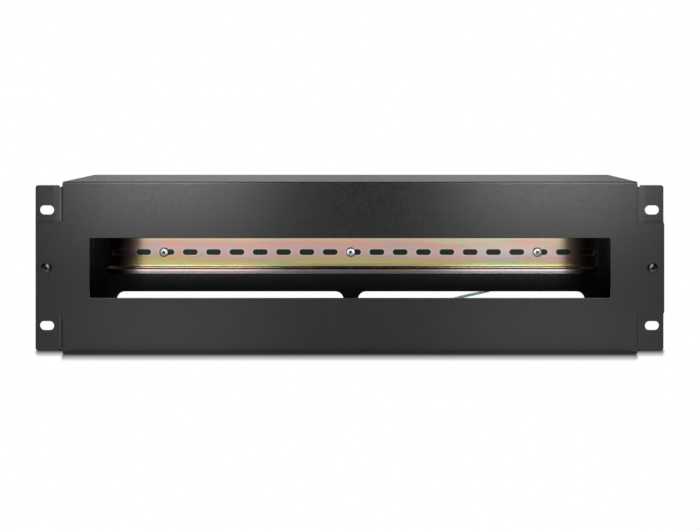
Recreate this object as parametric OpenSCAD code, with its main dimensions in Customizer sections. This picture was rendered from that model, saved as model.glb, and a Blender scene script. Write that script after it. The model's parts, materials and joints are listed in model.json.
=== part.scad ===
// 19-inch rack chassis, three height units, with a slotted mounting rail behind a windowed cover.
// A folded tray carries the rack ears and the rail. A folded cover closes its front, top and bottom.
// Frame: X to the right, Y to the rear, Z up. The origin is the centre of the rack slot pattern on
// the rear face of the ears, which is the face that meets the rack. Sizes are in millimetres.

/* [Rack panel] */
// Overall width across both ears
panel_w = 482.6; // [450:0.1:520]
// Width of each ear beside the cover
ear_w = 20.5; // [18.5:0.1:30]
// Height by which the ears end inside the cover's top and bottom
ear_drop = 2.75; // [1:0.05:8]
// Radius of the ears' outer corners
ear_corner_r = 2; // [0.5:0.1:5]
// From the panel's side edge to the middle of a rack slot
slot_inset = 8.75; // [7.5:0.05:10]
// From the ear's top or bottom edge to the middle of a rack slot
slot_drop = 19.05; // [8:0.05:24]
// Length of a rack slot along X
slot_len = 11; // [8:0.1:13]
// Width of a rack slot
slot_w = 7; // [6:0.1:7.8]

/* [Tray] */
// From the cover's front face to the tray's rear face
body_depth = 105; // [70:1:200]
// Sheet thickness of the tray
tray_t = 1.5; // [0.8:0.1:2.5]
// Inner bend radius of the tray
tray_bend_r = 0.5; // [0.4:0.1:2]
// Height by which the side walls end inside the ears' top and bottom, which relieves their folds
wall_drop = 1.3; // [0.5:0.1:4]
// Mean gap between the cover's side edges and the tray's walls
side_gap = 0.5; // [0.5:0.1:2]
// Depth of the lips along the top and bottom of the rear wall
lip_depth = 12; // [6:0.5:30]
// Gap between the lips and the cover
lip_gap = 0.2; // [0.1:0.05:1]
// Distance at which the lips end short of the tray's walls
lip_end_gap = 4.5; // [2:0.1:10]

/* [Cable entries] */
// Height of the two cable entries in the rear wall
entry_h = 22; // [12:0.5:30]
// Corner radius of a cable entry
entry_r = 7; // [1:0.5:10]
// Width of the wall left between the entries
entry_web = 12.5; // [6:0.5:40]
// Wall left beside the entries
entry_side = 20.5; // [10:0.5:60]
// Wall left below the entries
entry_sill = 7.6; // [4:0.1:12]

/* [Cover] */
// Height of the cover, three units less the usual play
cover_h = 132.5; // [110:0.5:180]
// Sheet thickness of the cover
cover_t = 1.2; // [0.8:0.1:2]
// Inner bend radius of the cover
cover_bend_r = 1; // [0.4:0.1:3]
// Sideways shift of the cover on its screws
cover_shift = 0.4; // [-0.4:0.1:0.4]
// Width of the cover's face beside the window
window_side = 20.8; // [10:0.1:60]
// Height of the window
window_h = 46; // [20:0.5:80]
// Corner radius of the window
window_r = 1.5; // [0.5:0.1:8]
// Ear left free between a tab of the cover and the nearest rack slot
tab_slot_gap = 5.45; // [1:0.05:15]
// Radius of the tabs' outer corners
tab_corner_r = 2; // [0.5:0.1:5]

/* [Mounting rail] */
// Width of the rail's channel, outside
rail_channel_w = 27; // [22:0.5:34]
// Width of each lip of the rail
rail_lip_w = 4; // [3:0.1:7]
// Depth of the rail from its lips to its back
rail_depth = 7.5; // [6:0.1:15]
// Sheet thickness of the rail
rail_t = 1; // [0.8:0.1:1.5]
// Inner bend radius of the rail
rail_bend_r = 0.3; // [0.2:0.1:1]
// Pitch of the rail's slots
rail_pitch = 20; // [18:0.5:30]
// Length of a slot in the rail
rail_slot_len = 12.7; // [10:0.1:15]
// Play of a screw across its slot in the rail
rail_slot_play = 0.9; // [0.2:0.1:1.5]
// Least gap between the rail's ends and the tray's walls
rail_end_gap = 11; // [4:0.5:30]
// Sideways shift of the rail on its screws
rail_shift = 2.4; // [-2.5:0.1:2.5]
// Slots between each end of the rail and the slot that takes its outer screw
rail_end_slots = 2; // [0:1:4]

/* [Screws and clinch nuts] */
// Thread diameter of every screw and stud
thread_d = 4; // [3:0.5:5]
// Play of a thread in its nut, across the diameter
thread_play = 0.1; // [0.05:0.05:0.2]
// Width of a screw's head beyond its thread, on each side
head_rim = 2; // [1:0.1:3]
// Height of a screw's head
head_h = 2.6; // [2:0.1:4]
// Radius of the crown of a screw's head
head_crown_r = 20; // [6:0.5:40]
// Width of the slope around a screw's head
head_slope_w = 0.8; // [0.3:0.1:1.2]
// Height of the slope around a screw's head
head_slope_h = 1.3; // [0.4:0.1:1.8]
// Span of the cross recess in a screw's head
recess_span = 4; // [3:0.1:5]
// Width of the recess's wings
recess_w = 1; // [0.6:0.1:1.4]
// Depth of the cross recess
recess_depth = 1.5; // [0.8:0.1:1.8]
// How far a screw stands out of its nut
screw_tip = 1.5; // [0.5:0.1:4]
// Play of a screw in the cover's tab, across the diameter
tab_hole_play = 1; // [0.9:0.1:2]
// Height of a clinch nut behind its sheet
clinch_h = 2; // [1.5:0.1:4]
// Wall of a clinch nut's shank, the part inside the sheet
clinch_wall = 0.7; // [0.5:0.1:1.2]
// Width of a clinch nut's shoulder beyond its shank
clinch_rim = 1.25; // [0.8:0.05:2]
// Distance at which a clinch nut's shank ends short of the sheet's front
clinch_inset = 0.1; // [0.05:0.05:0.3]
// Chamfer on screws, studs and nuts
edge_chamfer = 0.4; // [0.1:0.05:0.6]

/* [Earthing] */
// Length of the two earth studs
stud_len = 10; // [8:0.5:16]
// Width of a stud's welded foot beyond its thread, on each side
stud_foot_rim = 0.8; // [0.4:0.1:1.5]
// Height of a stud's welded foot
stud_foot_h = 0.8; // [0.5:0.1:1.5]
// Place of the tray's earth stud along X
tray_stud_x = 146; // [60:1:190]
// Height of the tray's earth stud above the cable entries
tray_stud_rise = 7.9; // [5:0.1:12]
// Place of the cover's earth stud along X
cover_stud_x = 0; // [-120:1:120]
// Place of the cover's earth stud behind the ears
cover_stud_y = 61; // [20:1:80]
// Sheet thickness of a ring lug
lug_t = 0.8; // [0.5:0.1:1.2]
// Width of a lug's ring around its hole
lug_ring_w = 1.85; // [1.2:0.05:3]
// Play of a lug or washer on its stud, across the diameter
lug_play = 0.3; // [0.1:0.1:0.8]
// From the stud to the end of a lug's barrel
lug_reach = 12.5; // [11:0.5:20]
// Outer diameter of a lug's barrel
lug_barrel_d = 3.4; // [3:0.1:5]
// Length of a lug's barrel
lug_barrel_len = 5.5; // [4:0.1:6]
// Depth of the crimp across a lug's barrel
lug_crimp = 0.5; // [0.2:0.1:0.8]
// Thickness of a toothed washer
washer_t = 0.6; // [0.4:0.1:1.2]
// Width of a toothed washer's ring
washer_ring_w = 1.85; // [1.2:0.05:2.5]
// Number of teeth on a washer
washer_teeth = 10; // [6:1:16]
// Depth of the gaps between a washer's teeth
tooth_depth = 0.8; // [0.4:0.1:1]
// Width of a hex nut across its flats
hex_w = 7; // [6.5:0.1:9]
// Height of a hex nut
hex_h = 3.2; // [2:0.1:5]
// Diameter of the earth wire
wire_d = 2.4; // [1.6:0.1:3]

/* [Hidden] */
$fn = 48;

// Margin by which a cutter runs past the faces that it cuts
past = 1;

// Rack panel
ear_h = cover_h - 2 * ear_drop;
slot_x = panel_w / 2 - slot_inset;
slot_z = ear_h / 2 - slot_drop;

// Cover
cover_w = panel_w - 2 * ear_w;
cover_front_y = -tray_t - cover_t;
cover_inner_z = cover_h / 2 - cover_t;
window_w = cover_w - 2 * window_side;
tab_h = 2 * (slot_z - slot_w / 2 - tab_slot_gap);

// Tray
tray_inner_w = cover_w + 2 * side_gap;
wall_outer_y = cover_front_y + body_depth;
wall_inner_y = wall_outer_y - tray_t;
tray_bend = tray_bend_r + tray_t;
fold_x = tray_inner_w / 2 + tray_bend;
lip_z = cover_inner_z - lip_gap;
lip_span = tray_inner_w - 2 * lip_end_gap;
wall_h = 2 * min(ear_h / 2 - wall_drop, lip_z - tray_bend);

// Cable entries
entry_bottom_z = -ear_h / 2 + entry_sill;
entry_top_z = entry_bottom_z + entry_h;
entry_w = (tray_inner_w - entry_web) / 2 - entry_side;
entry_x = (entry_web + entry_w) / 2;

// Rail: as many whole pitches as fit between the tray's walls
rail_slots = floor((tray_inner_w - 2 * rail_end_gap) / rail_pitch);
rail_len = rail_slots * rail_pitch;
rail_front_y = wall_inner_y - rail_depth;
rail_web_y = wall_inner_y - rail_t;
rail_slot_w = thread_d + rail_slot_play;
rail_screw_slots = [rail_end_slots, floor(rail_slots / 2), rail_slots - 1 - rail_end_slots];
function rail_slot_x(i) = rail_shift + (i + 0.5) * rail_pitch - rail_len / 2;
function rail_screw_x(place) = rail_slot_x(rail_screw_slots[place]) - rail_shift;

// Fasteners
head_d = thread_d + 2 * head_rim;
nut_bore = thread_d + thread_play;
clinch_shank_d = nut_bore + 2 * clinch_wall;
clinch_d = clinch_shank_d + 2 * clinch_rim;
rail_screw_len = rail_t + tray_t + clinch_h + screw_tip;
cover_screw_len = cover_t + tray_t + clinch_h + screw_tip;
screw_turn = [20, 65, 40];

// Earthing: what sits on a stud, counted from the sheet that carries it
lug_hole = thread_d + lug_play;
lug_ring_d = lug_hole + 2 * lug_ring_w;
washer_d = lug_hole + 2 * washer_ring_w;
washer_rise = stud_foot_h + lug_t;
hex_rise = washer_rise + washer_t;
tray_stud_z = entry_top_z + tray_stud_rise;

// The tray's lug points to the left and down, on a 7-24-25 triangle
tray_lug_turn = atan2(-7, -24);

// Route of the earth wire, from the tray's lug through the right cable entry to the cover's lug
wire_route = [
    [134, 104.8, -29.5], [128, 104.8, -31.25], [120, 104.6, -33.5], [110, 103.6, -35.7],
    [99.5, 100.5, -37.5], [88, 95, -39.5], [76, 87, -42.5], [64, 77, -47.5],
    [53, 66, -53.5], [43, 56, -59.5], [33, 47, -62.8], [21, 39, -63.5],
    [8, 33, -63.5], [-7, 30, -63.5], [-22, 30, -63.5], [-36, 34, -63.5],
    [-46, 43, -63.5], [-46, 54, -63.4], [-36, 61, -63], [-24, 61, -62.55],
    [-12.5, 61, -62.55]
];
wire_sides = 8;
wire_steps = 2;

// Rectangle with round corners, centred
module rounded(w, h, r) {
    square([w - 2 * r, h], center = true);
    square([w, h - 2 * r], center = true);
    for (x = [-1, 1], y = [-1, 1])
        translate([x * (w / 2 - r), y * (h / 2 - r)]) circle(r);
}

// Slot with round ends along X, centred
module slot(length, w) {
    square([length - w, w], center = true);
    for (x = [-1, 1])
        translate([x * (length - w) / 2, 0]) circle(d = w);
}

// Quarter ring of a right-angled bend, in the first quadrant
module quarter_bend(t, r) {
    intersection() {
        difference() {
            circle(r + t);
            circle(r);
        }
        square(r + t);
    }
}

// Edge of a sheet folded at right angles, drawn along +X with its thickness to the left.
// Each step is a straight length and the turn that follows it, 1 to the left and -1 to the right.
module folded(steps, t, r, i = 0) {
    leg = steps[i][0];
    turn = steps[i][1];
    square([leg, t]);
    if (turn == 1) {
        translate([leg, t + r]) rotate(-90) quarter_bend(t, r);
        translate([leg + r + t, t + r]) rotate(90) folded(steps, t, r, i + 1);
    }
    if (turn == -1) {
        translate([leg, -r]) quarter_bend(t, r);
        translate([leg + r, -r]) rotate(-90) folded(steps, t, r, i + 1);
    }
}

// Turns an outline drawn in X and Z into a plate from y0 back by depth
module from_front(y0, depth) {
    translate([0, y0 + depth, 0]) rotate([90, 0, 0]) linear_extrude(depth) children();
}

// Turns an outline drawn in Y and Z into a bar along X, centred
module along_x(length) {
    rotate([90, 0, 90]) linear_extrude(length, center = true) children();
}

// Plan of the tray: ear, side wall, rear wall, side wall, ear
module tray_plan() {
    ear_leg = panel_w / 2 - fold_x;
    side_leg = wall_outer_y - tray_bend - tray_bend_r;
    rear_leg = tray_inner_w - 2 * tray_bend_r;
    steps = [[ear_leg, 1], [side_leg, -1], [rear_leg, -1], [side_leg, 1], [ear_leg, 0]];
    translate([-panel_w / 2, -tray_t]) folded(steps, tray_t, tray_bend_r);
}

// Section of the rear wall and its two lips, in Y and Z
module lips_section() {
    lip_leg = lip_depth - tray_bend;
    rear_leg = 2 * (lip_z - tray_bend);
    steps = [[lip_leg, 1], [rear_leg, 1], [lip_leg, 0]];
    translate([wall_outer_y - lip_depth, -lip_z]) folded(steps, tray_t, tray_bend_r);
}

module chassis_tray() {
    color("#38393b") difference() {
        union() {
            difference() {
                intersection() {
                    linear_extrude(ear_h, center = true) tray_plan();
                    from_front(-tray_t - past, body_depth + past) rounded(panel_w, ear_h, ear_corner_r);
                }
                // Walls end inside the ears and the lips' folds, which relieves the corners
                for (up = [0, 1]) mirror([0, 0, up])
                    translate([-fold_x, -tray_t - past, wall_h / 2])
                        cube([2 * fold_x, body_depth + past, (ear_h - wall_h) / 2 + past]);
            }
            along_x(lip_span) lips_section();
        }
        // Rack slots and the holes of the cover's clinch nuts
        from_front(-tray_t - past, tray_t + 2 * past) for (x = [-slot_x, slot_x]) {
            for (z = [-slot_z, slot_z]) translate([x, z]) slot(slot_len, slot_w);
            translate([x, 0]) circle(d = clinch_shank_d);
        }
        // Cable entries and the holes of the rail's clinch nuts
        from_front(wall_inner_y - past, tray_t + 2 * past) {
            for (x = [-entry_x, entry_x])
                translate([x, (entry_top_z + entry_bottom_z) / 2]) rounded(entry_w, entry_h, entry_r);
            for (place = [0:2]) translate([rail_screw_x(place), 0]) circle(d = clinch_shank_d);
        }
    }
}

// Section of the cover: bottom, front and top, in Y and Z
module cover_section() {
    plate_leg = wall_outer_y - cover_front_y - cover_bend_r - cover_t;
    front_leg = 2 * (cover_inner_z - cover_bend_r);
    steps = [[plate_leg, -1], [front_leg, -1], [plate_leg, 0]];
    translate([wall_outer_y, -cover_inner_z]) rotate(180) folded(steps, cover_t, cover_bend_r);
}

module front_cover() {
    color("#343537") translate([cover_shift, 0, 0]) difference() {
        union() {
            along_x(cover_w) cover_section();
            from_front(cover_front_y, cover_t) rounded(panel_w, tab_h, tab_corner_r);
        }
        from_front(cover_front_y - past, cover_t + 2 * past) {
            rounded(window_w, window_h, window_r);
            for (x = [-slot_x, slot_x]) translate([x, 0]) circle(d = thread_d + tab_hole_play);
        }
    }
}

// Section of the rail, in Y and Z: lip, side, web, side, lip
module rail_section() {
    bend = rail_bend_r + rail_t;
    lip_leg = rail_lip_w - rail_bend_r;
    side_leg = rail_depth - rail_t - rail_bend_r - bend;
    web_leg = rail_channel_w - 2 * bend;
    steps = [[lip_leg, -1], [side_leg, 1], [web_leg, 1], [side_leg, -1], [lip_leg, 0]];
    translate([rail_front_y + rail_t, -rail_channel_w / 2 - rail_lip_w])
        rotate(90) folded(steps, rail_t, rail_bend_r);
}

module din_rail() {
    color("#c9b27a") difference() {
        translate([rail_shift, 0, 0]) along_x(rail_len) rail_section();
        from_front(rail_web_y - past, rail_t + 2 * past)
            for (i = [0 : rail_slots - 1])
                translate([rail_slot_x(i), 0]) slot(rail_slot_len, rail_slot_w);
    }
}

// Pan-head screw with a cross recess, its head up from Z = 0 and its thread down
module pan_screw(length) {
    difference() {
        union() {
            rotate_extrude() intersection() {
                polygon([
                    [0, 0], [head_d / 2, 0], [head_d / 2, head_h - head_slope_h],
                    [head_d / 2 - head_slope_w, head_h], [0, head_h]
                ]);
                translate([0, head_h - head_crown_r]) circle(head_crown_r);
            }
            // The thread starts inside the head, so that the two are one solid
            rotate_extrude() polygon([
                [0, head_h / 2], [thread_d / 2, head_h / 2], [thread_d / 2, edge_chamfer - length],
                [thread_d / 2 - edge_chamfer, -length], [0, -length]
            ]);
        }
        translate([0, 0, head_h - recess_depth]) cross_recess();
    }
}

// Cutter of a cross recess, up from Z = 0, whose wings run down to its middle
module cross_recess() {
    cut_h = recess_depth + past;
    widening = (recess_span - recess_w) / recess_depth;
    intersection() {
        cylinder(d1 = recess_w, d2 = recess_w + widening * cut_h, h = cut_h);
        for (turn = [0, 90]) rotate(turn)
            translate([-recess_span, -recess_w / 2, 0]) cube([2 * recess_span, recess_w, cut_h]);
    }
}

// Clinch nut, its shoulder up from Z = 0 and its shank down in the sheet
module clinch_nut() {
    shank_len = tray_t - clinch_inset;
    rotate_extrude() polygon([
        [nut_bore / 2, -shank_len], [clinch_shank_d / 2, -shank_len], [clinch_shank_d / 2, 0],
        [clinch_d / 2, 0], [clinch_d / 2, clinch_h - edge_chamfer],
        [clinch_d / 2 - edge_chamfer, clinch_h], [nut_bore / 2, clinch_h]
    ]);
}

module rail_screw(place) {
    color("#c8c9cb") translate([rail_screw_x(place), rail_web_y, 0])
        rotate([90, 0, 0]) rotate(screw_turn[place]) pan_screw(rail_screw_len);
}

module rail_nut(place) {
    color("#b9babd") translate([rail_screw_x(place), wall_outer_y, 0]) rotate([-90, 0, 0]) clinch_nut();
}

module cover_screw(side) {
    color("#1b1b1c") translate([side * slot_x, cover_front_y, 0])
        rotate([90, 0, 0]) rotate(side * screw_turn[0]) pan_screw(cover_screw_len);
}

module cover_nut(side) {
    color("#b9babd") translate([side * slot_x, 0, 0]) rotate([-90, 0, 0]) clinch_nut();
}

// Threaded stud with its welded foot, up from Z = 0
module earth_stud() {
    foot_r = thread_d / 2 + stud_foot_rim;
    color("#c8c9cb") rotate_extrude() polygon([
        [0, 0], [foot_r, 0], [foot_r, stud_foot_h], [thread_d / 2, stud_foot_h],
        [thread_d / 2, stud_len - edge_chamfer], [thread_d / 2 - edge_chamfer, stud_len], [0, stud_len]
    ]);
}

// Ring lug lying on Z = 0, its barrel along +X
module ring_lug() {
    barrel_x = lug_reach - lug_barrel_len;
    color("#b4b6b9") difference() {
        union() {
            linear_extrude(lug_t) {
                circle(d = lug_ring_d);
                translate([0, -lug_barrel_d / 2]) square([barrel_x, lug_barrel_d]);
            }
            translate([barrel_x, 0, lug_barrel_d / 2]) rotate([0, 90, 0])
                cylinder(d = lug_barrel_d, h = lug_barrel_len);
        }
        translate([0, 0, -past]) cylinder(d = lug_hole, h = lug_t + 2 * past);
        translate([barrel_x + lug_barrel_len / 2, 0, 2 * lug_barrel_d - lug_crimp]) rotate([90, 0, 0])
            cylinder(r = lug_barrel_d, h = 2 * lug_barrel_d, center = true);
    }
}

// Toothed washer, up from Z = 0
module toothed_washer() {
    color("#a9abae") linear_extrude(washer_t) difference() {
        circle(d = washer_d);
        circle(d = lug_hole);
        for (i = [0 : washer_teeth - 1]) rotate(i * 360 / washer_teeth)
            translate([washer_d / 2, 0])
                square([2 * tooth_depth, PI * washer_d / washer_teeth / 2], center = true);
    }
}

// Hex nut with chamfered corners, up from Z = 0
module hex_nut() {
    corner_r = hex_w / 2 / cos(30);
    color("#c8c9cb") difference() {
        intersection() {
            cylinder(r = corner_r, h = hex_h, $fn = 6);
            rotate_extrude() polygon([
                [0, 0], [hex_w / 2, 0], [corner_r, edge_chamfer],
                [corner_r, hex_h - edge_chamfer], [hex_w / 2, hex_h], [0, hex_h]
            ]);
        }
        translate([0, 0, -past]) cylinder(d = nut_bore, h = hex_h + 2 * past);
    }
}

// Places what sits on the tray's earth stud, which stands out of the rear wall
module on_tray_stud(rise) {
    translate([tray_stud_x, wall_outer_y + rise, tray_stud_z]) rotate([-90, 0, 0]) children();
}

// Places what sits on the cover's earth stud, which stands on the cover's bottom
module on_cover_stud(rise) {
    translate([cover_stud_x, cover_stud_y, -cover_inner_z + rise]) children();
}

// Point between b and c on the smooth curve through a, b, c and d
function between(a, b, c, d, u) =
    ((2 * b) + (c - a) * u + (2 * a - 5 * b + 4 * c - d) * u * u + (3 * b - a - 3 * c + d) * u * u * u) / 2;

// Route of the wire with extra points between those chosen, leaving each end in a straight line
function smooth_route(p, n) =
    let (last = len(p) - 1, q = concat([2 * p[0] - p[1]], p, [2 * p[last] - p[last - 1]]))
    concat([for (i = [0 : last - 1], k = [0 : n - 1])
        between(q[i], q[i + 1], q[i + 2], q[i + 3], k / n)], [p[last]]);

// Way that the route runs at a place on it, along the lugs at its two ends
function wire_way(path, i) =
    i == 0 ? wire_route[1] - wire_route[0] :
    i == len(path) - 1 ? wire_route[len(wire_route) - 1] - wire_route[len(wire_route) - 2] :
    path[i + 1] - path[i - 1];

// Ring of points around a place on the route, square to the way the route runs there
function wire_ring(path, i) =
    let (
        way = wire_way(path, i) / norm(wire_way(path, i)),
        aside = cross(way, [0, 0, 1]),
        right = aside / norm(aside),
        up = cross(right, way)
    )
    [for (s = [0 : wire_sides - 1]) let (turn = s * 360 / wire_sides)
        path[i] + wire_d / 2 * (cos(turn) * right + sin(turn) * up)];

module earth_wire() {
    path = smooth_route(wire_route, wire_steps);
    rings = len(path);
    points = [for (i = [0 : rings - 1]) each wire_ring(path, i)];
    sides = [for (i = [0 : rings - 2], s = [0 : wire_sides - 1])
        let (next = (s + 1) % wire_sides)
        [i * wire_sides + s, i * wire_sides + next, (i + 1) * wire_sides + next, (i + 1) * wire_sides + s]];
    first_cap = [for (s = [wire_sides - 1 : -1 : 0]) s];
    last_cap = [for (s = [0 : wire_sides - 1]) (rings - 1) * wire_sides + s];
    color("#2f6f55") polyhedron(points, concat([first_cap], sides, [last_cap]));
}

chassis_tray();
front_cover();
din_rail();
rail_screw(0);  // rail_screw_left
rail_screw(1);  // rail_screw_middle
rail_screw(2);  // rail_screw_right
rail_nut(0);  // rail_nut_left
rail_nut(1);  // rail_nut_middle
rail_nut(2);  // rail_nut_right
cover_screw(-1);  // cover_screw_left
cover_screw(1);  // cover_screw_right
cover_nut(-1);  // cover_nut_left
cover_nut(1);  // cover_nut_right
on_tray_stud(0) earth_stud();  // tray_earth_stud
on_tray_stud(stud_foot_h) rotate(-tray_lug_turn) ring_lug();  // tray_earth_lug
on_tray_stud(washer_rise) toothed_washer();  // tray_earth_washer
on_tray_stud(hex_rise) hex_nut();  // tray_earth_nut
on_cover_stud(0) earth_stud();  // cover_earth_stud
on_cover_stud(stud_foot_h) rotate(180) ring_lug();  // cover_earth_lug
on_cover_stud(washer_rise) toothed_washer();  // cover_earth_washer
on_cover_stud(hex_rise) hex_nut();  // cover_earth_nut
earth_wire();
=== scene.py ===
"""Looks of a 19-inch rack chassis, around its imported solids.

The frame is that of the solids: X to the right, Y to the rear, Z up, with the origin at the centre of
the rack slot pattern, on the rear face of the ears. Sizes are written in millimetres and multiplied by MM.
"""

import json
import math

import bmesh
import bpy
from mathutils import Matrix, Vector


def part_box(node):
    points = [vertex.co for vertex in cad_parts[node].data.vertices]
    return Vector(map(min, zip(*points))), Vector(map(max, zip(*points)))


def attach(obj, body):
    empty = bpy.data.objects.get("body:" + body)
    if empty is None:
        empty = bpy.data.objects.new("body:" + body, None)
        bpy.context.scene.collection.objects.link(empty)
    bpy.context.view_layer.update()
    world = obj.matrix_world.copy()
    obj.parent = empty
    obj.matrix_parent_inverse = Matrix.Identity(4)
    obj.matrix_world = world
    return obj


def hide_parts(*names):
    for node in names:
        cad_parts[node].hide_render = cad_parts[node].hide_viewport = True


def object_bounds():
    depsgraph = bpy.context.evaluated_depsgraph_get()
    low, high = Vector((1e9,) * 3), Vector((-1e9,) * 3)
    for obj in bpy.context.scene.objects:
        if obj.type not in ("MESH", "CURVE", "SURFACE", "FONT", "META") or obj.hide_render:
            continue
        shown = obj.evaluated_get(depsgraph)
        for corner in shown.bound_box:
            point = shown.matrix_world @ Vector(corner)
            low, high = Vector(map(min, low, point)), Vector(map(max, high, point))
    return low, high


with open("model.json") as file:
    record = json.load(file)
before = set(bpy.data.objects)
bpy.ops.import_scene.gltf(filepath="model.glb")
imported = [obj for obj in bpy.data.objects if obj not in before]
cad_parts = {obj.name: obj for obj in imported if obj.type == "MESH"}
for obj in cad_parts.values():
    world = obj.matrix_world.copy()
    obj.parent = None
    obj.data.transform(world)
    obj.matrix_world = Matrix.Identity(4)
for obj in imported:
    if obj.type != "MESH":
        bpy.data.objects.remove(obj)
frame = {"nodes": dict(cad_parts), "record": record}
cad_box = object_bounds()

MM = 0.001
METRE_MM = 1000
BODY = "root"
WHITE = (1, 1, 1, 1)

# Range in which most values of a noise lie
NOISE_RANGE = (0.3, 0.7)

# Camera: the picture's size, the pixel straight ahead of the lens, the focal length in pixels, the
# sensor's width and the place of the lens
PICTURE_PX = (700, 530)
AHEAD_PX = (361.2, 116.5)
FOCAL_PX = 1135
SENSOR_MM = 36
CAMERA_MM = (9, -873.7, 116.3)

# Earth wire: its diameter, its length, and its route from the tray's lug through the right cable entry
# to the cover's lug
WIRE_D_MM = 2.4
WIRE_ROUTE_MM = [
    (134, 104.8, -29.5), (128, 104.8, -31.25), (120, 104.6, -33.5), (110, 103.6, -35.7),
    (99.5, 100.5, -37.5), (88, 95, -39.5), (76, 87, -42.5), (64, 77, -47.5),
    (53, 66, -53.5), (43, 56, -59.5), (33, 47, -62.8), (21, 39, -63.5),
    (8, 33, -63.5), (-7, 30, -63.5), (-22, 30, -63.5), (-36, 34, -63.5),
    (-46, 43, -63.5), (-46, 54, -63.4), (-36, 61, -63), (-24, 61, -62.55),
    (-12.5, 61, -62.55),
]

# Rounded edges: their size on the coated sheets, the rail and the small parts, the steps across one, the
# angle from which an edge counts as sharp, and the limits within which points and flat faces are joined
COAT_EDGE_MM = 0.45
RAIL_EDGE_MM = 0.22
SMALL_EDGE_MM = 0.12
EDGE_STEPS = 2
SHARP_DEG = 35
WELD_MM = 0.001
FLAT_DEG = 0.3

# Layer of texture coordinates that gives the direction of the rail's grain
GRAIN_UV = "grain"

# Powder coat: the grain's depth, and the roughness from its glossier to its duller patches
COAT_DEPTH_MM = 0.028
COAT_ROUGHNESS = (0.2, 0.26)

# Painted light on the folds beside the ears, a grey in the coat for the light that they catch: their middle
# and half width in X and Y, the heights between which the painted light grows, and its share at the lower one
FOLD_X_MM = (221.7, 0.8)
FOLD_Y_MM = (-0.45, 1)
FOLD_Z_MM = (-35, 35)
FOLD_LOW = 0.42
FOLD_PAINTED_LIGHT = (0.07, 0.07, 0.072, 1)

# Step in the coat along the upper edge of the cover's tabs: the distances from the middle over which it
# sets in, the heights over which it rises, and how high it is
TAB_X_MM = (221.3, 227)
TAB_Z_MM = (34, 36)
TAB_STEP_MM = 0.065

# Rail: its shift to the right, the pitch of its slots, and a slot's length and width
RAIL_SHIFT_MM = 2.4
RAIL_PITCH_MM = 20
RAIL_SLOT_MM = (12.7, 4.9)

# Strip of the rear wall behind the rail's slots, as a middle and half width each way, with its added
# roughness and a painted tint in its gloss that stands in for the rail's light reflected there
BEHIND_SLOTS_MM = {"X": (RAIL_SHIFT_MM, 192), "Y": (100.8, 0.6), "Z": (0, 2.7)}
BEHIND_SLOTS_ROUGHER = 0.06
BEHIND_SLOTS_PAINTED_TINT = (0.7, 0.7, 0.49, 1)

# Pale rim round each slot: the distances from the slot over which it fades, the factor on distances past
# the ends of the slot's straight sides, its strongest share, and its colour
RIM_MM = (0.5, 1)
RIM_PAST_END = 0.85
RIM_SHARE = 0.8
RIM_COLOUR = (0.45, 0.41, 0.39, 1)

# Bow of the rail: the slope of its lips, the height from the middle at which the web reaches that slope,
# and the power with which the bow grows up to there
BOW_SLOPE_DEG = 2.45
BOW_REACH_MM = 12.2
BOW_POWER = 3

# Film on the rail: the heights over which its colours run, and those colours from below to above
FILM_Z_MM = (-18, 18)
FILM_COLOURS = [
    (0.02, (0.46, 0.37, 0.38)), (0.11, (0.52, 0.40, 0.38)), (0.18, (0.46, 0.43, 0.22)),
    (0.205, (0.37, 0.34, 0.16)), (0.25, (0.42, 0.37, 0.16)), (0.31, (0.41, 0.33, 0.14)),
    (0.36, (0.42, 0.31, 0.19)), (0.42, (0.43, 0.30, 0.26)), (0.51, (0.46, 0.34, 0.32)),
    (0.61, (0.49, 0.34, 0.31)), (0.7, (0.53, 0.31, 0.28)), (0.77, (0.51, 0.36, 0.26)),
    (0.82, (0.50, 0.43, 0.28)),
]

# Drift of those colours: how far they wander up and down, how far they sink towards the right and over
# which stretch, the heights from the middle over which the drift dies away, and what is left of it
WANDER_MM = 8
SINK_MM = 3
SINK_X_MM = (50, 110)
CALM_MM = (8, 11)
CALM_SHARE = 0.1

# Paler patch of the film at the right: its middle, the distances from there over which it fades, the
# heights over which its tints run, and those tints
PATCH_X_MM = 138
PATCH_FADE_MM = (18, 50)
PATCH_Z_MM = (-10, 10)
PATCH_TINTS = [
    (0.35, (0.92, 1.04, 1.12)), (0.62, (1, 1.27, 1.14)), (0.82, (1, 1.25, 1.14)), (0.95, (1, 1.1, 1.12)),
]

# Clouds in the film: the range of a noise over which their tints run, and those tints
CLOUD_RANGE = (0.35, 0.65)
CLOUD_TINTS = [(0.2, (0.93, 1, 1.06)), (0.5, (1, 1, 1)), (0.8, (1.05, 0.97, 0.95))]

# Painted highlight and shade on the rail's bends and lips: the heights from the middle over which they run,
# and the film's levels there, above 1 for painted highlight lines and below 1 for painted shade
BENDS_MM = (11, 18)
BEND_LIGHT_AND_SHADE_LEVELS = [
    (0.11, 1), (0.136, 0.15), (0.188, 0.15), (0.195, 1.8), (0.237, 1.8), (0.247, 0.2),
    (0.386, 0.2), (0.42, 0.3), (0.5, 0.48), (0.6, 0.48), (0.66, 0.34), (0.9, 0.46),
]

# Painted shade at the rail's ends: the distances from its middle over which it darkens the film, and what is
# left
ENDS_MM = (190, 202)
ENDS_SHADE_LEVEL = 0.3

# Depth of the scratches along the rail
SCRATCH_DEPTH_MM = 0.0012

# Plated small parts: the size of their patches, the depth of their grain, the distance from which walls cast
# painted shade into a recess, and its levels by the share of open space around it
PLATING_MM = 1.5
PLATING_DEPTH_MM = 0.002
RECESS_MM = 2
RECESS_SHADE_LEVELS = [(0.6, 0.02), (0.95, 1)]

# Floor: how far it reaches, and its levels from the darkest shade to the open floor
FLOOR_MM = 15000
FLOOR_LEVELS = [(0, 0.02), (0.6, 0.12), (1, 0.9)]

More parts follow.
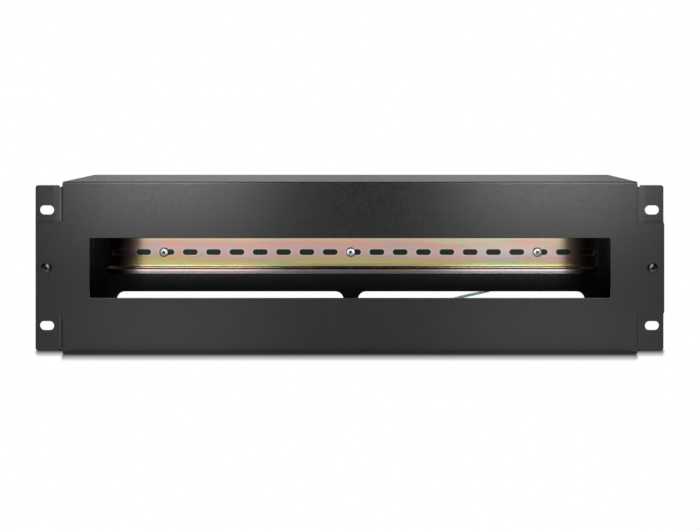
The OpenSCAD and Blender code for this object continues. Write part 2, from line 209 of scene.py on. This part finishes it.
# Shade on the floor: how far it reaches sideways and to the front and rear, how far in front it would
# narrow to a point, how far inside the ears' ends the body's shade starts, and the strip of the ears'
# shade, a little behind them, with its front and rear edge and how far it passes their ends
SHADE_MM = (3, 30)
SHADE_TAPER_MM = 870
BODY_SHADE_INSET_MM = 21.8
EAR_SHADE_Y_MM = (12, 16)
EAR_SHADE_PAST_MM = 2

# Floor as the object mirrors it: the stretch in front over which its white falls off, what is left of
# that, the least share of it in the shade, and the floor's sheen, with the stretch over which it grows and
# its roughness
GLARE_Y_MM = (-1000, -600)
FAR_GLARE = 0.3
MIRRORED = 0.45
SHEEN = (0.02, 0.14)
SHEEN_Y_MM = (-320, -180)
SHEEN_ROUGHNESS = 0.25

# Studio by direction: the dark room in front and the white sweep behind, with the directions in Y between
# which one becomes the other, and the sweep's levels between two directions in X, from left to right
ROOM_LEVELS = (0.03, 0.45)
ROOM_Y = (-0.2, 0.4)
SWEEP_X = (-0.3, 0.3)
SWEEP_LEVELS = [
    (0.12, 0.84), (0.19, 1.06), (0.36, 1.08), (0.5, 0.9), (0.64, 1.06), (0.78, 1.09), (0.86, 0.74),
]

# Softboxes: their places in X, their place and aim in Y and Z, their size, and their radiance
FRONT_BOXES = {
    "x": (-347, 357), "place": (-1200, 150), "aim": (0, 150), "size": (318, 430), "radiance": 10.1,
}
UPPER_BOXES = {
    "x": (-368, 378), "place": (-749, 1019), "aim": (0, 60), "size": (284, 1580), "radiance": 13,
}
OVERHEAD_BOX = {
    "x": (0,), "place": (130, 1200), "aim": (100, 0), "size": (1600, 340), "radiance": 2,
}


def greys(stops):
    """Stops of a ramp in greys, from (place, level) pairs."""
    return [(place, (level, level, level)) for place, level in stops]


class Nodes:
    """Node tree of a material or world, with short calls to add and join its nodes."""

    def __init__(self, owner):
        owner.use_nodes = True
        self.tree = owner.node_tree

    def add(self, kind, inputs=None, **settings):
        """New node with these settings, and with its inputs by name or number."""
        node = self.tree.nodes.new("ShaderNode" + kind)
        for key, value in settings.items():
            setattr(node, key, value)
        for key, value in (inputs or {}).items():
            self.put(node.inputs[key], value)
        return node

    def put(self, socket, value):
        """Joins a socket to another node's output, or sets its value."""
        if isinstance(value, bpy.types.NodeSocket):
            self.tree.links.new(value, socket)
        else:
            socket.default_value = value

    def axes(self, vector):
        """Parts of a vector, as outputs named X, Y and Z."""
        return self.add("SeparateXYZ", {"Vector": vector}).outputs

    def ramp(self, source, stops):
        """Colours along a value, as (place, colour) pairs."""
        node = self.add("ValToRGB", {"Fac": source})
        elements = node.color_ramp.elements
        while len(elements) < len(stops):
            elements.new(0.5)
        for element, (place, colour) in zip(elements, stops):
            element.position = place
            element.color = (*colour, 1)
        return node.outputs["Color"]

    def span(self, source, low, high, start=0, end=1, **settings):
        """Value of the source between start and end, spread between low and high."""
        inputs = {"Value": source, "From Min": start, "From Max": end, "To Min": low, "To Max": high}
        return self.add("MapRange", inputs, **settings).outputs["Result"]

    def math(self, operation, *values, **settings):
        """Result of one sum on numbers or other nodes' outputs."""
        return self.add("Math", dict(enumerate(values)), operation=operation, **settings).outputs[0]

    def mix(self, blend_type, share, first, second):
        """Two colours blended by a share."""
        inputs = {"Fac": share, "Color1": first, "Color2": second}
        return self.add("MixRGB", inputs, blend_type=blend_type).outputs["Color"]


class Shader(Nodes):
    """Node tree of one material, with its patterns in the frame's coordinates."""

    def __init__(self, name):
        self.material = bpy.data.materials.new(name)
        super().__init__(self.material)
        self.bsdf = self.tree.nodes["Principled BSDF"]
        self.output = self.tree.nodes["Material Output"]

    def set(self, **values):
        """Sets the surface's own inputs, named with underscores."""
        for key, value in values.items():
            self.put(self.bsdf.inputs[key.replace("_", " ")], value)

    def place(self):
        """Place in the frame, as a vector."""
        return self.add("TexCoord").outputs["Object"]

    def across(self, source, low, high, range_mm):
        """Goes from low to high where a place passes through a range in millimetres."""
        start, end = range_mm
        return self.span(source, low, high, start * MM, end * MM)

    def inside(self, *ranges):
        """1 where each value lies in its range, given as a middle and a half width in millimetres."""
        share = 1.0
        for source, (middle, half) in ranges:
            near = self.math("COMPARE", source, middle * MM, half * MM)
            share = self.math("MULTIPLY", near, share)
        return share

    def noise(self, size_mm, detail=2, along=1, roughness=0.5):
        """Noise with features of about that size, whose length in X is that size divided by along."""
        place = self.add("Mapping", {"Vector": self.place(), "Scale": (along, 1, 1)}).outputs[0]
        inputs = {"Vector": place, "Scale": 1 / (size_mm * MM), "Detail": detail, "Roughness": roughness}
        return self.add("TexNoise", inputs).outputs["Fac"]

    def mottle(self, first, second, size_mm, detail=2):
        """Two colours that run into each other in patches of about that size."""
        return self.ramp(self.noise(size_mm, detail), list(zip(NOISE_RANGE, (first, second))))

    def bump(self, height, depth_mm):
        """Normal of a surface with that relief."""
        inputs = {"Height": height, "Distance": depth_mm * MM, "Strength": 1}
        return self.add("Bump", inputs).outputs["Normal"]


def powder_coat():
    """Black powder coat with a fine grain, semi-matt, with painted light on the folds beside the ears and a
    painted tint of the rail's light behind the rail's slots.
    """
    shader = Shader("powder_coat")
    place = shader.axes(shader.place())
    outward = shader.math("ABSOLUTE", place["X"])
    black = shader.mottle((0.0018, 0.0018, 0.0019), (0.0028, 0.0028, 0.003), size_mm=9, detail=3)
    gloss = shader.span(shader.noise(size_mm=2.2, detail=3), *COAT_ROUGHNESS, *NOISE_RANGE)
    grain = shader.noise(size_mm=1.3, detail=3, roughness=0.55)

    fold = shader.inside((outward, FOLD_X_MM), (place["Y"], FOLD_Y_MM))
    # Painted light on the folds beside the ears, weaker towards the bottom
    fold_light = shader.math("MULTIPLY", fold, shader.across(place["Z"], FOLD_LOW, 1, FOLD_Z_MM))
    behind = shader.inside(*((place[axis], BEHIND_SLOTS_MM[axis]) for axis in "XYZ"))
    step = shader.across(place["Z"], 0, TAB_STEP_MM / COAT_DEPTH_MM, TAB_Z_MM)
    relief = shader.math("MULTIPLY_ADD", shader.across(outward, 0, 1, TAB_X_MM), step, grain)
    shader.set(
        Base_Color=shader.mix("MIX", fold_light, black, FOLD_PAINTED_LIGHT),
        Roughness=shader.math("MULTIPLY_ADD", behind, BEHIND_SLOTS_ROUGHER, gloss),
        Specular_IOR_Level=0.28,
        # Painted tint behind the rail's slots, standing in for the rail's reflected light
        Specular_Tint=shader.mix("MIX", behind, WHITE, BEHIND_SLOTS_PAINTED_TINT),
        Normal=shader.bump(relief, COAT_DEPTH_MM),
    )
    return shader.material


def film_bands(shader, place, height):
    """Colours of the film, in bands along the rail that drift a little up and down."""
    wave = shader.noise(size_mm=12, detail=3, along=0.2)
    wander = shader.span(wave, -WANDER_MM * MM, WANDER_MM * MM)
    sink = shader.across(place["X"], 0, SINK_MM * MM, SINK_X_MM)
    calm = shader.across(height, 1, CALM_SHARE, CALM_MM)
    drift = shader.math("MULTIPLY", shader.math("ADD", wander, sink), calm)
    band = shader.math("ADD", place["Z"], drift)
    return shader.ramp(shader.across(band, 0, 1, FILM_Z_MM), FILM_COLOURS)


def film_patch(shader, place, film):
    """The film with its paler patch."""
    away = shader.math("ABSOLUTE", shader.math("SUBTRACT", place["X"], PATCH_X_MM * MM))
    tints = shader.ramp(shader.across(place["Z"], 0, 1, PATCH_Z_MM), PATCH_TINTS)
    return shader.mix("MULTIPLY", shader.across(away, 1, 0, PATCH_FADE_MM), film, tints)


def film_colour(shader, place, height, along):
    """Bands, patch and clouds of the film, with painted highlight and shade on each bend and lip of the rail
    and painted shade at its ends.
    """
    film = film_patch(shader, place, film_bands(shader, place, height))
    cloud = shader.span(shader.noise(size_mm=16, along=0.6), 0, 1, *CLOUD_RANGE)
    clouds = shader.ramp(cloud, CLOUD_TINTS)
    # Painted highlight lines and painted shade on the rail's bends and lips
    bend_light_and_shade = shader.ramp(shader.across(height, 0, 1, BENDS_MM), greys(BEND_LIGHT_AND_SHADE_LEVELS))
    # Painted shade that darkens the film towards the rail's ends
    ends = shader.across(shader.math("ABSOLUTE", along), 1, ENDS_SHADE_LEVEL, ENDS_MM)
    for factor in (clouds, bend_light_and_shade, ends):
        film = shader.mix("MULTIPLY", 1.0, film, factor)
    return film


def slot_rim(shader, place, along):
    """Share of the pale rim round the nearest slot, where the film is thin."""
    length, width = RAIL_SLOT_MM
    half_pitch = RAIL_PITCH_MM / 2 * MM
    from_slot = shader.math("ABSOLUTE", shader.math("WRAP", along, half_pitch, -half_pitch))
    past_end = shader.math("SUBTRACT", from_slot, (length - width) / 2 * MM)
    past = shader.math("MULTIPLY", shader.math("MAXIMUM", past_end, 0.0), RIM_PAST_END)
    height_squared = shader.math("MULTIPLY", place["Z"], place["Z"])
    away = shader.math("SQRT", shader.math("MULTIPLY_ADD", past, past, height_squared))
    return shader.across(away, RIM_SHARE, 0, [width / 2 + rim for rim in RIM_MM])


def rail_bow(shader, height):
    """Relief of the rail in metres: its web bows out towards its sides, and its lips slope on."""
    reach = BOW_REACH_MM * MM
    slope = math.tan(math.radians(BOW_SLOPE_DEG))
    share = shader.math("MINIMUM", shader.math("DIVIDE", height, reach), 1.0)
    bow = shader.math("MULTIPLY", shader.math("POWER", share, BOW_POWER), slope * reach / BOW_POWER)
    lip = shader.math("MAXIMUM", shader.math("SUBTRACT", height, reach), 0.0)
    return shader.math("MULTIPLY_ADD", lip, slope, bow)


def yellow_zinc():
    """Zinc with a yellow passivation film, whose colour shifts from edge to edge of the rail."""
    shader = Shader("yellow_zinc")
    place = shader.axes(shader.place())
    height = shader.math("ABSOLUTE", place["Z"])
    along = shader.math("SUBTRACT", place["X"], RAIL_SHIFT_MM * MM)
    film = film_colour(shader, place, height, along)
    scratches = shader.noise(size_mm=0.7, along=0.006)
    relief = shader.math("MULTIPLY_ADD", scratches, SCRATCH_DEPTH_MM * MM, rail_bow(shader, height))
    shader.set(
        Base_Color=shader.mix("MIX", slot_rim(shader, place, along), film, RIM_COLOUR),
        Metallic=1.0,
        Roughness=shader.span(shader.noise(size_mm=3, detail=3, along=0.02), low=0.1, high=0.13),
        Anisotropic=0.67,
        Anisotropic_Rotation=0.25,
        Tangent=shader.add("Tangent", direction_type="UV_MAP", uv_map=GRAIN_UV).outputs["Tangent"],
        Normal=shader.bump(relief, METRE_MM),
    )
    return shader.material


def burnished_zinc():
    """Zinc rubbed bright on the rail's punched edges."""
    shader = Shader("burnished_zinc")
    shader.set(
        Base_Color=shader.mottle((0.62, 0.55, 0.42), (0.74, 0.68, 0.58), size_mm=2),
        Metallic=1.0,
        Roughness=shader.span(shader.noise(size_mm=0.8), low=0.2, high=0.34),
    )
    return shader.material


def plated_metal(name, darker, lighter, roughness):
    """Plated metal whose colour and gloss vary a little, with painted shade that darkens its recesses."""
    shader = Shader(name)
    plating = shader.mottle(darker, lighter, PLATING_MM, detail=3)
    open_share = shader.add("AmbientOcclusion", {"Distance": RECESS_MM * MM}).outputs["AO"]
    # Painted shade in the recesses, from the share of open space around each point
    recess_shade = shader.ramp(open_share, greys(RECESS_SHADE_LEVELS))
    shader.set(
        Base_Color=shader.mix("MULTIPLY", 1.0, plating, recess_shade),
        Metallic=1.0,
        Roughness=shader.span(shader.noise(PLATING_MM / 2), *roughness),
        Normal=shader.bump(shader.noise(PLATING_MM / 4), PLATING_DEPTH_MM),
    )
    return shader.material


def green_sleeve():
    """Extruded insulation of the earth wire."""
    shader = Shader("green_sleeve")
    shader.set(
        Base_Color=shader.mottle((0.36, 0.66, 0.51), (0.42, 0.72, 0.58), size_mm=4),
        Roughness=shader.span(shader.noise(size_mm=0.8), low=0.32, high=0.45),
        Normal=shader.bump(shader.noise(size_mm=0.5), depth_mm=0.004),
    )
    return shader.material


def link(item):
    """Puts an object in the scene."""
    bpy.context.scene.collection.objects.link(item)
    return item


def add_camera():
    """Level camera at the photograph's viewpoint, shifted to where the picture's middle lies."""
    data = bpy.data.cameras.new("camera")
    data.sensor_width = SENSOR_MM
    data.lens = FOCAL_PX * SENSOR_MM / PICTURE_PX[0]
    data.shift_x = (PICTURE_PX[0] / 2 - AHEAD_PX[0]) / PICTURE_PX[0]
    data.shift_y = (AHEAD_PX[1] - PICTURE_PX[1] / 2) / PICTURE_PX[0]
    camera = link(bpy.data.objects.new("camera", data))
    camera.location = Vector(CAMERA_MM) * MM
    camera.rotation_euler = (math.radians(90), 0, 0)
    bpy.context.scene.camera = camera


def wire_curve(points, material):
    """One smooth tube through the points, straight at its two ends."""
    data = bpy.data.curves.new("earth_wire_sleeve", "CURVE")
    data.dimensions = "3D"
    data.bevel_depth = WIRE_D_MM / 2 * MM
    data.bevel_resolution = 6
    data.resolution_u = 8
    data.use_fill_caps = True
    data.materials.append(material)
    spline = data.splines.new("BEZIER")
    spline.bezier_points.add(len(points) - 1)
    extended = [2 * points[0] - points[1], *points, 2 * points[-1] - points[-2]]
    for index, knot in enumerate(spline.bezier_points):
        # A handle of a sixth of the way between both neighbours makes the curve pass each point evenly
        handle = (extended[index + 2] - extended[index]) / 6
        knot.handle_left_type = knot.handle_right_type = "FREE"
        knot.co = points[index]
        knot.handle_left = points[index] - handle
        knot.handle_right = points[index] + handle
    return data


def add_earth_wire(material):
    """Piece for the earth wire, along its route."""
    points = [Vector(place) * MM for place in WIRE_ROUTE_MM]
    wire = link(bpy.data.objects.new("earth_wire_sleeve", wire_curve(points, material)))
    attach(wire, BODY)
    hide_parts("earth_wire")


def rounded_mesh(node, name, edge_mm, materials):
    """Mesh of a CAD node with its sharp edges rounded. The last material is that of the edges."""
    form = bmesh.new()
    form.from_mesh(frame["nodes"][node].data)
    bmesh.ops.remove_doubles(form, verts=form.verts, dist=WELD_MM * MM)
    bmesh.ops.dissolve_limit(form, angle_limit=math.radians(FLAT_DEG), verts=form.verts, edges=form.edges)
    sharp = [edge for edge in form.edges if edge.calc_face_angle(0) > math.radians(SHARP_DEG)]
    bmesh.ops.bevel(
        form, geom=sharp, offset=edge_mm * MM, offset_type="OFFSET", segments=EDGE_STEPS, profile=0.5,
        affect="EDGES", clamp_overlap=True, material=len(materials) - 1,
    )
    grain = form.loops.layers.uv.new(GRAIN_UV)
    for face in form.faces:
        face.smooth = True
        for loop in face.loops:
            loop[grain].uv = (loop.vert.co.y + loop.vert.co.z, loop.vert.co.x)
    mesh = bpy.data.meshes.new(name)
    form.to_mesh(mesh)
    form.free()
    for material in materials:
        mesh.materials.append(material)
    return mesh


def add_rounded(node, name, slot, edge_mm, *materials):
    """Piece for a CAD node, of the same form with its sharp edges rounded."""
    piece = link(bpy.data.objects.new(name, rounded_mesh(node, name, edge_mm, materials)))
    shade = piece.modifiers.new("shade", "WEIGHTED_NORMAL")
    shade.weight = 100
    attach(piece, BODY)
    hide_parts(node)


def add_sheets():
    """The tray and the cover, coated alike, and the rail."""
    coat = powder_coat()
    add_rounded("chassis_tray", "tray_sheet", "powder_coat", COAT_EDGE_MM, coat)
    add_rounded("front_cover", "cover_sheet", "powder_coat", COAT_EDGE_MM, coat)
    add_rounded("din_rail", "rail_strip", "yellow_zinc", RAIL_EDGE_MM, yellow_zinc(), burnished_zinc())


def add_small_parts():
    """Screws, nuts, studs, washers and lugs, each with the finish that the record gives it."""
    finishes = {
        "bright_zinc": plated_metal("bright_zinc", (0.5, 0.5, 0.51), (0.62, 0.62, 0.62), (0.34, 0.42)),
        "black_zinc": plated_metal("black_zinc", (0.032, 0.032, 0.034), (0.044, 0.044, 0.047), (0.08, 0.13)),
        "tinned_copper": plated_metal("tinned_copper", (0.58, 0.58, 0.57), (0.72, 0.72, 0.71), (0.28, 0.42)),
    }
    for subpart in frame["record"]["subparts"]:
        node, slot = subpart["node"], subpart["material_slot"]
        if slot in finishes:
            add_rounded(node, node + "_piece", slot, SMALL_EDGE_MM, finishes[slot])


def shade_from(shader, position, corner, other):
    """Share of the way out of the shade round the rectangle between two corners on the floor."""
    def vector(operation, *values, output="Vector"):
        return shader.add("VectorMath", dict(enumerate(values)), operation=operation).outputs[output]

    middle = (corner + other) / 2
    half = (other - corner) / 2
    in_front = shader.math("MAXIMUM", shader.math("SUBTRACT", corner.y, shader.axes(position)["Y"]), 0.0)
    narrower = shader.math("MULTIPLY", in_front, half.x / (SHADE_TAPER_MM * MM))
    taper = shader.add("CombineXYZ", {"X": narrower}).outputs[0]
    side = vector("ABSOLUTE", vector("SUBTRACT", position, middle))
    beyond = vector("SUBTRACT", vector("ADD", side, taper), half)
    outside = vector("MAXIMUM", beyond, (0, 0, 0))
    shares = vector("DIVIDE", outside, (SHADE_MM[0] * MM, SHADE_MM[1] * MM, 1))
    return vector("LENGTH", shares, output="Value")


def floor_shade(shader, position):
    """Share of the way from the darkest shade, under the body and the ears, to the open floor."""
    lowest, highest = cad_box
    inset = BODY_SHADE_INSET_MM * MM
    past = EAR_SHADE_PAST_MM * MM
    ear_front, ear_rear = (y * MM for y in EAR_SHADE_Y_MM)
    body = shade_from(
        shader, position, Vector((lowest.x + inset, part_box("front_cover")[0].y, lowest.z)),
        Vector((highest.x - inset, highest.y, lowest.z)),
    )
    ears = shade_from(
        shader, position, Vector((lowest.x - past, ear_front, lowest.z)),
        Vector((highest.x + past, ear_rear, lowest.z)),
    )
    return shader.math("MINIMUM", body, ears, use_clamp=True)


def mirrored_floor(shader, position):
    """The floor's white and sheen as the object mirrors them."""
    depth = shader.axes(position)["Y"]
    glare = shader.across(depth, FAR_GLARE, 1, GLARE_Y_MM)
    glow = shader.add("Emission", {"Color": WHITE, "Strength": glare}).outputs[0]
    gloss = shader.across(depth, *SHEEN, SHEEN_Y_MM)
    sheen = shader.add("BsdfAnisotropic", {"Color": gloss, "Roughness": SHEEN_ROUGHNESS}).outputs[0]
    return shader.add("AddShader", {0: glow, 1: sheen}).outputs[0]


def floor_material():
    """White floor, lit near the object so that it keeps the shadow, with painted shadow darkening its colour
    there, and plain white further off.
    """
    shader = Shader("studio_floor")
    position = shader.add("NewGeometry").outputs["Position"]
    far = floor_shade(shader, position)
    levels = shader.ramp(far, greys(FLOOR_LEVELS))
    shader.set(Base_Color=levels, Roughness=1.0, Specular_IOR_Level=0.0)

    rays = shader.add("LightPath").outputs
    glossy = rays["Is Glossy Ray"]
    direct = shader.math("MAXIMUM", rays["Is Camera Ray"], rays["Is Transmission Ray"])
    seen = shader.math("MAXIMUM", direct, glossy)
    least = shader.math("MULTIPLY", glossy, MIRRORED)
    share = shader.math("MULTIPLY", seen, shader.math("MAXIMUM", far, least))
    white = shader.add("Emission", {"Color": WHITE, "Strength": 1.0}).outputs[0]
    look = shader.add("MixShader", {0: glossy, 1: white, 2: mirrored_floor(shader, position)}).outputs[0]
    surface = shader.add("MixShader", {0: share, 1: shader.bsdf.outputs[0], 2: look}).outputs[0]
    shader.put(shader.output.inputs["Surface"], surface)
    return shader.material


def add_floor():
    """Floor on which the object stands."""
    reach = FLOOR_MM * MM
    z = cad_box[0].z
    mesh = bpy.data.meshes.new("floor")
    corners = [(-reach, -reach, z), (reach, -reach, z), (reach, reach, z), (-reach, reach, z)]
    mesh.from_pydata(corners, [], [(0, 1, 2, 3)])
    mesh.materials.append(floor_material())
    link(bpy.data.objects.new("floor", mesh))


def add_world():
    """White for the camera, and for the light a studio with a white sweep behind and a dark room in front."""
    world = bpy.data.worlds.new("studio")
    bpy.context.scene.world = world
    nodes = Nodes(world)
    nodes.tree.nodes.clear()
    direction = nodes.axes(nodes.add("TexCoord").outputs["Generated"])
    room = nodes.span(direction["Y"], *ROOM_LEVELS, *ROOM_Y, interpolation_type="SMOOTHSTEP")
    sweep = nodes.ramp(nodes.span(direction["X"], 0, 1, *SWEEP_X), greys(SWEEP_LEVELS))
    studio = nodes.add("Background", {"Color": nodes.mix("MULTIPLY", 1.0, room, sweep)}).outputs[0]
    white = nodes.add("Background", {"Color": WHITE}).outputs[0]
    rays = nodes.add("LightPath").outputs
    seen = nodes.math("MAXIMUM", rays["Is Camera Ray"], rays["Is Transmission Ray"])
    surface = nodes.add("MixShader", {0: seen, 1: studio, 2: white}).outputs[0]
    nodes.add("OutputWorld", {"Surface": surface})


def add_softboxes(name, group, mirrored=True):
    """Rectangular lights of a given radiance, each facing its aim."""
    for x in group["x"]:
        place = Vector((x, *group["place"]))
        aim = Vector((x, *group["aim"]))
        data = bpy.data.lights.new(name, "AREA")
        data.shape = "RECTANGLE"
        data.size, data.size_y = (side * MM for side in group["size"])
        data.energy = group["radiance"] * math.pi * data.size * data.size_y
        lamp = link(bpy.data.objects.new(name, data))
        lamp.location = place * MM
        lamp.rotation_euler = (aim - place).to_track_quat("-Z", "Y").to_euler()
        lamp.visible_glossy = mirrored


add_camera()
add_earth_wire(green_sleeve())
add_sheets()
add_small_parts()
add_floor()
add_world()
add_softboxes("softbox", FRONT_BOXES)
add_softboxes("upper_softbox", UPPER_BOXES)
add_softboxes("overhead", OVERHEAD_BOX, mirrored=False)
bpy.context.scene.view_settings.view_transform = "Standard"
